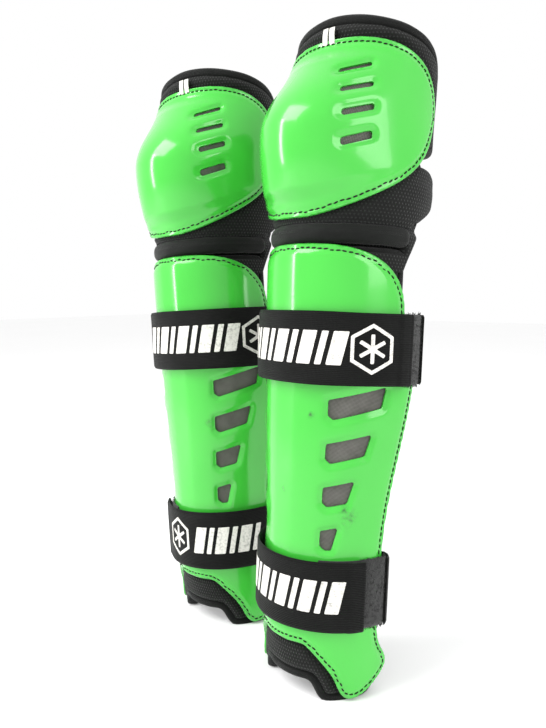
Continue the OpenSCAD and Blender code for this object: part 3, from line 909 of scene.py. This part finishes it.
def build_web(guard):
    """Cloth that the roll is sewn on. It comes up behind the shin shell and closes the corners by the roll."""
    u, z = (m.ravel() for m in np.meshgrid(np.linspace(-1, 1, 110), np.linspace(306, 343, 30), indexing="ij"))
    phi = u * np.interp(z, [306, 316, 330, 343], [76, 81, 89, 99])
    middle = smooth((80 - np.abs(phi)) / 5)
    off = -2.9 - smooth((z - 317) / 6) * (8.9 * middle + 4.7 * (1 - middle) * smooth((z - 330) / 8))
    off += 0.25 * ripple(phi, z, 33, 8.0) * (1 - middle)
    piece = sheet_piece(f"{guard}_roll_web", np.stack([phi * ARC, z], 1), grid_faces(110, 30),
                        shin_section(phi, z, off), shin_section(phi, z, off - 1.2), guard, MAT["dots"])
    dress(piece, guard, "shin")


def build_roll(guard):
    """Smooth padded roll above the shin shell."""
    phi = np.linspace(-82, 82, 130)
    end = np.sqrt(np.maximum(0.02, 1 - clamp((np.abs(phi) - 77) / 5) ** 2))
    level = ROLL_Z + 0 * phi
    centre = shin_section(phi, ROLL_Z + 0.5 * ripple(phi, 0, 12, 9.0), -6.2)
    out = shin_section(phi, level, 0.0) - shin_section(phi, level, -6.0)
    piece = tube_piece(f"{guard}_knee_roll", centre, out, 7.0 * end, 5.4 * end, guard, MAT["roll"], sides=24,
                       closed=False, power=2.3, uneven=0.03, seed=8)
    dress(piece, guard, "shin", ("gusset_roll",))


def inflate(piece, pressure, reach):
    """Swells a soft piece by a short cloth simulation, and caps how far its points may move."""
    scene = bpy.context.scene
    before = np.array([v.co for v in piece.data.vertices])
    cloth = piece.modifiers.new("cloth", "CLOTH")
    settings = cloth.settings
    settings.use_pressure = True
    settings.uniform_pressure_force = pressure
    settings.tension_stiffness = settings.compression_stiffness = 8
    settings.bending_stiffness = 0.4
    settings.effector_weights.gravity = 0
    cloth.point_cache.frame_start, cloth.point_cache.frame_end = 1, 20
    for step in range(1, 21):
        scene.frame_set(step)
    deep = bpy.context.evaluated_depsgraph_get()
    after = np.array([v.co for v in piece.evaluated_get(deep).data.vertices])
    piece.modifiers.remove(cloth)
    scene.frame_set(1)
    move = after - before
    length = np.linalg.norm(move, axis=1)[:, None] + 1e-12
    move *= np.minimum(1, reach * MM / length)
    piece.data.vertices.foreach_set("co", (before + move).astype(np.float32).ravel())
    piece.data.update()


def build_cradle(guard):
    """Stuffed ring that seats the leg's knee cap, inside the knee liner."""
    g = np.linspace(0, 2 * np.pi, 110, endpoint=False)
    phi, z = 36 * 1.1 * np.cos(g), 405 + 36 * np.sin(g)
    face = KNEE_FACE - LINER_T - 3.4
    centre = cap_section(phi, z, face)
    out = cap_section(phi, z, face + 5) - centre
    piece = tube_piece(f"{guard}_knee_ring_pad", centre, out, 6.6, 3.2, guard, MAT["lining"], sides=20,
                       power=2.4, uneven=0.05, seed=15)
    inflate(piece, 4.0, 1.2)
    dress(piece, guard, "knee", ("knee_cradle",))


def grid_faces(nx, ny):
    return [[i * ny + j, (i + 1) * ny + j, (i + 1) * ny + j + 1, i * ny + j + 1]
            for i in range(nx - 1) for j in range(ny - 1)]


def build_label(guard):
    """Two blank folded loops that stand up behind the cap's top edge."""
    x, y = np.meshgrid(np.linspace(0, 1, 14), np.linspace(0, 1, 20), indexing="ij")
    flats, fronts, backs, faces = [], [], [], []
    for start, tilt in ((-4.0, 0.25), (1.6, -0.35)):
        phi, z = start + 4.3 * x.ravel() + tilt * y.ravel(), mix(463.5, 475.3, y).ravel()
        slack = 0.8 * np.sin(np.pi * y.ravel()) + 0.5 * x.ravel()
        make = lambda o: cap_section(phi, z, KNEE_FACE + 3.4 + slack + o)
        base = sum(len(f) for f in flats)
        faces += [[v + base for v in f] for f in grid_faces(14, 20)]
        flats.append(np.stack([phi * ARC, z], 1)), fronts.append(make(0)), backs.append(make(-0.6))
    piece = sheet_piece(f"{guard}_top_tab", np.concatenate(flats), faces, np.concatenate(fronts),
                        np.concatenate(backs), guard, MAT["label"])
    dress(piece, guard, "knee", ("label",))


# ---------------------------------------------------------------- straps
WRAP = {"r": "r", "l": "strap"}                  # the frame in which each guard's straps are placed


def strap_xy(z, side, f, off):
    """Plan of a strap: round the shell to the angle side, a corner, then straight across behind."""
    a, b = shin_a(z) + STRAP_GAP, shin_b(z) + STRAP_GAP
    f = np.asarray(f, float)
    f = np.where(f < -180, f + 360, f)
    m, g = np.where(f < 0, -1.0, 1.0), np.abs(f)
    e = np.radians(np.minimum(g, side))
    n = np.arctan2(b * np.sin(e), a * np.cos(e))
    px, py = a * np.sin(e), -b * np.cos(e)
    cx, cy = px - STRAP_R * np.sin(n), py + STRAP_R * np.cos(n)
    w = (g - side) / (180 - side)
    turn = mix(n, np.pi, clamp(w / 0.35))
    r = STRAP_R + off
    x = np.where(g <= side, px + off * np.sin(n),
                 np.where(w < 0.35, cx + r * np.sin(turn), mix(cx, 0, (w - 0.35) / 0.65)))
    y = np.where(g <= side, py - off * np.cos(n), np.where(w < 0.35, cy - r * np.cos(turn), cy + r))
    return m * x, y


def ribbon(name, strap, f0, f1, low, high, guard, material, inset=0.0, drop=lambda f: 0 * f, shape=None,
           pitch=1.5, rows=27):
    """A flat band standing on edge from angle f0 to f1, between the offsets low and high."""
    mid = strap["z"] + STRAP_W / 2
    fine = np.linspace(f0, f1, 1200)
    xy = np.stack(strap_xy(mid, strap["side"], fine, 0.0), 1)
    along = np.concatenate([[0], np.cumsum(np.linalg.norm(np.diff(xy, axis=0), axis=1))])
    count = max(6, int(along[-1] / pitch))
    f = np.interp(np.linspace(0, along[-1], count), along, fine)
    s = np.interp(f, fine, along) if f1 > f0 else np.linspace(0, along[-1], count)
    s, v = np.meshgrid(s, np.linspace(0, 1, rows), indexing="ij")
    f = np.repeat(f[:, None], rows, 1)
    f, s, v = f.ravel(), s.ravel(), v.ravel()
    width = STRAP_W - 2 * inset
    z = strap["z"] + inset + v * width
    edge = np.minimum(v, 1 - v) * width
    rounding = 0.42 * (high - low) * (1 - np.sqrt(np.maximum(0, 1 - (1 - clamp(edge / 1.0)) ** 2)))
    relief = 0 * s if shape is None else shape(f, s, along[-1] - s, z)
    z = z + 0.25 * ripple(s, 0, 17, 12.0) * (2 * v - 1)
    outer = high + drop(f) - rounding + relief
    inner = low + drop(f) + rounding
    flat = np.stack([s, z - strap["z"]], 1)
    faces = grid_faces(count, rows)
    if f1 < f0:
        faces = [q[::-1] for q in faces]
    make = lambda o: np.stack([*strap_xy(mid, strap["side"], f, o), z], 1)
    return sheet_piece(name, flat, faces, make(outer), make(inner), WRAP[guard], material, sharp=55)


def free_end_hem(f, s, left, z):
    """The folded and sewn end of the elastic."""
    fold = smooth((13.0 - left) / 1.2)
    seams = bell(left - 11.0, 0.5) + bell(left - 3.0, 0.5)
    return 0.9 * fold - 0.5 * seams * fold - 0.5 * (1 - smooth(left / 1.0)) + 0.12 * ripple(s, z, 19, 6.0)


def blend_strap(piece):
    """Bakes a piece's transform into its mesh."""
    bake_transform(piece)


def to_tab(f):
    """The run behind the leg drops onto the pile tab at its outer end."""
    return -1.7 * smooth((-180 - f) / 35)


def print_distance(marks, slant):
    """Signed distance into the print: rows of plain slanted bars and a plain hexagon badge."""
    def at(p):
        x, y = p[:, 0], p[:, 1] - (STRAP_W / 2 + 0.5)
        best = np.full(len(p), -9.0)
        for kind, centre, half in marks:
            if kind == "bar":
                u = x - slant * 0.22 * y - centre
                best = np.maximum(best, np.minimum(half - np.abs(u), 11.5 - np.abs(y)))
            else:
                u = x - centre
                hexes = [np.abs(u * math.cos(a) + y * math.sin(a)) for a in (0, math.pi / 3, 2 * math.pi / 3)]
                hexagon = np.max(hexes, axis=0)
                ring = np.minimum(15.0 - hexagon, hexagon - 12.6)
                spokes = np.max([1.3 - h for h in hexes], axis=0)
                badge = np.maximum(ring, np.minimum(spokes, 10.0 - np.hypot(u, y)))
                best = np.maximum(best, badge)
        return best
    return at


PRINT_ARC = 1.16                                 # millimetres of strap in one degree


def bars(f0, f1):
    """Bars of two widths, set out from the angle f0 towards f1."""
    found, x, step = [], f0 * PRINT_ARC, math.copysign(1, f1 - f0)
    k = 0
    while (f1 * PRINT_ARC - x) * step > 8:
        half = 5.2 if k % 2 == 0 else 2.3
        found.append(("bar", x + step * half, half))
        x += step * (2 * half + 3.4)
        k += 1
    return found


PRINTS = {("r", "upper"): bars(34, -58) + [("badge", 50 * PRINT_ARC, 0)],
          ("r", "lower"): bars(41, -55),
          ("l", "upper"): bars(-46, 44) + [("badge", -62 * PRINT_ARC, 0)],
          ("l", "lower"): bars(-3, -62) + [("badge", 17 * PRINT_ARC, 0)]}


def build_print(guard, key, strap):
    marks = PRINTS[guard, key]
    slant = 1 if guard == "r" else -1
    low = max(-strap["side"], min(m[1] / PRINT_ARC for m in marks) - 16)
    high = min(strap["free"] - 11, max(m[1] / PRINT_ARC for m in marks) + 16)
    flat, _, faces = cut_grid(low * PRINT_ARC, high * PRINT_ARC, 8, 44, 0.75, print_distance(marks, slant))
    f, z = flat[:, 0] / PRINT_ARC, strap["z"] + flat[:, 1]
    mid = strap["z"] + STRAP_W / 2
    make = lambda o: np.stack([*strap_xy(mid, strap["side"], f, o), z], 1)
    piece = sheet_piece(f"{guard}_{key}_strap_print", flat, faces, make(STRAP_T + 0.16 + 0 * f),
                        make(STRAP_T - 0.12 + 0 * f), WRAP[guard], MAT["white"])
    dress(piece, guard)
    blend_strap(piece)


def build_fuzz(guard, key, strap, count=620):
    """Loose loops standing up from the pile tab where the strap leaves it bare, and round its edges."""
    draw = np.random.default_rng(41 if key == "upper" else 43)
    mid = strap["z"] + STRAP_W / 2
    points, faces, lay = [], [], []
    for k in range(count):
        f = draw.uniform(strap["free"] - 3, strap["pile"][1] - 1.0)
        v = draw.uniform(0.01, 0.99) if k % 3 else draw.choice([0.0, 1.0])
        z = strap["z"] + v * STRAP_W
        lean, tall = draw.normal(0, 0.55, 2), draw.uniform(0.5, 1.5)
        outwards = 0.0 if 0.005 < v < 0.995 else (2 * v - 1)
        turn, base = draw.uniform(0, 3.14), len(points)
        for i in range(5):
            u = i / 4
            arc = math.sin(math.pi * u)
            foot = (u - 0.5) * 1.1
            ff = f + (foot * math.cos(turn) + lean[0] * arc) / 1.15
            zz = z + (0 if outwards else 1) * foot * math.sin(turn) + lean[1] * arc
            zz += outwards * tall * 0.8 * arc
            oo = -1.9 + (tall * arc if not outwards else -1.2 + 0.4 * arc)
            x, y = strap_xy(mid, strap["side"], ff, oo)
            for j in range(3):
                w, thick = 2.094 * j, 0.11
                points.append((float(x) + thick * math.cos(w), float(y) + thick * math.sin(w),
                               zz + thick * math.sin(w)))
                lay.append((ff, zz, 0))
        for i in range(4):
            for j in range(3):
                m = (j + 1) % 3
                faces.append([base + 3 * i + j, base + 3 * i + m, base + 3 * i + 3 + m, base + 3 * i + 3 + j])
        faces += [[base + 2, base + 1, base], [base + 12, base + 13, base + 14]]
    piece = mesh_object(f"{guard}_{key}_pile_fuzz", np.array(points), faces, WRAP[guard], MAT["pile"],
                        np.array(lay))
    dress(piece, guard, "shin")


def build_strap(guard, key, strap):
    side = strap["side"]
    front = ribbon(f"{guard}_{key}_strap_band", strap, -side + 0.2, strap["free"], 0.0, STRAP_T, guard,
                   MAT["elastic"], shape=free_end_hem, pitch=1.25)
    dress(front, guard, nodes=(f"{key}_strap_front", f"{key}_strap_end"))
    blend_strap(front)
    back = ribbon(f"{guard}_{key}_strap_rear", strap, -side, -360 + side + 6, 0.0, STRAP_T, guard,
                  MAT["elastic"], drop=to_tab, pitch=2.0)
    dress(back, guard, "shin", (f"{key}_strap_back",))
    tab = ribbon(f"{guard}_{key}_pile_tab", strap, *strap["pile"], -4.4, -1.9, guard, MAT["pile"],
                 shape=lambda f, s, left, z: 0.22 * ripple(s, z, 23, 1.6), pitch=1.3)
    dress(tab, guard, "shin", (f"{key}_strap_pile",))
    hooks = ribbon(f"{guard}_{key}_hook_tape", strap, strap["free"] - 25, strap["free"] - 1.5, -1.5, -0.15,
                   guard, MAT["hook"], inset=2.0, pitch=1.6, rows=20)
    dress(hooks, guard, f"{key}_end", (f"{key}_strap_hook",))
    build_print(guard, key, strap)
    build_fuzz(guard, key, strap)


# ---------------------------------------------------------------- vent meshes
def mesh_patterns():
    found = {}
    for key, box, surface, rise in (("shin", (15, 76, 100, 231), shin_section, lambda p, z: 0 * p),
                                    ("knee", (10, 56, 378, 452), cap_section, dome_h)):
        x, y = np.meshgrid(np.linspace(box[0], box[1], 34), np.linspace(box[2], box[3], 60), indexing="ij")
        near, z = x.ravel(), y.ravel()
        if key == "shin":
            near = 15 + (near - 15) / 61 * (33 + 24 * (z - 100) / 131)
        sides = {}
        for m, phi in ((-1, -near - FAR), (1, near)):
            sag = 0.25 * ripple(phi, z, 27, 7.0)
            off = (-WALL - 0.45 if key == "shin" else -WALL - 0.75) + rise(phi, z) + sag
            sides[m] = (np.stack([phi * ARC, z], 1), surface(phi, z, off), surface(phi, z, off - 0.5))
        found[key] = (sides, grid_faces(34, 60))
    return found


MESHES = mesh_patterns()


def build_vent_mesh(guard, key, body):
    sides, faces = MESHES[key]
    flats, fronts, backs, all_faces = [], [], [], []
    for m, (flat, front, back) in sides.items():
        base = sum(len(f) for f in flats)
        ordered = faces if m > 0 else [f[::-1] for f in faces]
        all_faces += [[v + base for v in f] for f in ordered]
        flats.append(flat), fronts.append(front), backs.append(back)
    piece = sheet_piece(f"{guard}_{key}_vent_cloth", np.concatenate(flats), all_faces, np.concatenate(fronts),
                        np.concatenate(backs), guard, MAT["mesh"])
    dress(piece, guard, body, (f"{key}_vent_mesh",))


# ---------------------------------------------------------------- the two guards
def build_guard(guard):
    wear = scuffs(SHIN_SHELL["flat"], SCUFFS[guard])
    dress(build_shell(SHIN_SHELL, guard, True, wear), guard, "shin", ("shin_shell",))
    dress(build_shell(CAP_SHELL, guard, False), guard, "knee", ("knee_shell",))
    seed = 101 if guard == "r" else 202
    stitches("shin_stitching", SHIN_LINE, on_shell(shin_section, shin_relief), guard, True,
             lambda phi, z: 1.0 if z > 290 else (0.7 if z < 60 else 0.25), seed, "shin")
    stitches("knee_stitching", CAP_LINE, on_shell(cap_section, cap_relief), guard, False,
             lambda phi, z: 0.1 if z > 440 else 0.6, seed + 1, "knee")
    build_vent_mesh(guard, "shin", "shin")
    build_vent_mesh(guard, "knee", "knee")
    build_liner(guard, "shin", "shin")
    build_liner(guard, "knee", "knee")
    hem(guard, "shin", LINER_LINE, shin_section, SHIN_FACE, "shin", True)
    hem(guard, "knee", PAD_LINE, cap_section, KNEE_FACE, "knee", False)
    build_gusset(guard)
    build_web(guard)
    build_roll(guard)
    build_cradle(guard)
    build_label(guard)
    build_strap(guard, "upper", UPPER)
    build_strap(guard, "lower", LOWER)


for guard in "rl":
    build_guard(guard)


# ---------------------------------------------------------------- stage, lights, camera
def plain_material(name, colour, roughness):
    m = Nodes(name)
    m.colour(m.ramp(m.noise(2.0, 2), [(0.3, colour), (0.7, tuple(min(1, c * 1.01) for c in colour))]))
    m.shader.inputs["Roughness"].default_value = roughness
    return m.material


def build_stage():
    bpy.ops.mesh.primitive_plane_add(size=12, location=(0, 0, 0))
    floor = bpy.context.object
    floor.name = "floor"
    floor.data.materials.append(plain_material("floor_paper", (0.95, 0.95, 0.95), 0.95))
    world = bpy.data.worlds.new("studio")
    bpy.context.scene.world = world
    world.use_nodes = True
    world.node_tree.nodes["Background"].inputs[0].default_value = (1, 1, 1, 1)
    world.node_tree.nodes["Background"].inputs[1].default_value = 1.0


def area_light(name, place_at, aim, size, power):
    light = bpy.data.lights.new(name, "AREA")
    light.shape = "RECTANGLE"
    light.size, light.size_y = size
    light.energy = power
    made = bpy.data.objects.new(name, light)
    bpy.context.scene.collection.objects.link(made)
    from mathutils import Vector
    direction = Vector(aim) - Vector(place_at)
    made.location = place_at
    made.rotation_euler = direction.to_track_quat("-Z", "Y").to_euler()


def build_camera():
    azimuth, pitch, focal = math.radians(34.73), math.radians(6.14), 672.7
    camera = bpy.data.cameras.new("camera")
    camera.sensor_width = 36.0
    camera.lens = focal * 36.0 / 728
    made = bpy.data.objects.new("camera", camera)
    bpy.context.scene.collection.objects.link(made)
    made.location = (0.3270, -0.4508, 0.2930)
    made.rotation_euler = (math.pi / 2 - pitch, 0.0, azimuth)
    bpy.context.scene.camera = made


build_stage()
area_light("key", (-0.55, -0.9, 1.35), (0, 0, 0.3), (0.9, 0.9), 18)
area_light("window", (-0.75, -0.75, 0.55), (0, 0, 0.35), (0.12, 0.8), 5)
area_light("side", (1.2, -0.2, 0.8), (0, 0, 0.25), (0.6, 1.0), 7)
build_camera()
bpy.context.scene.view_settings.view_transform = "Standard"
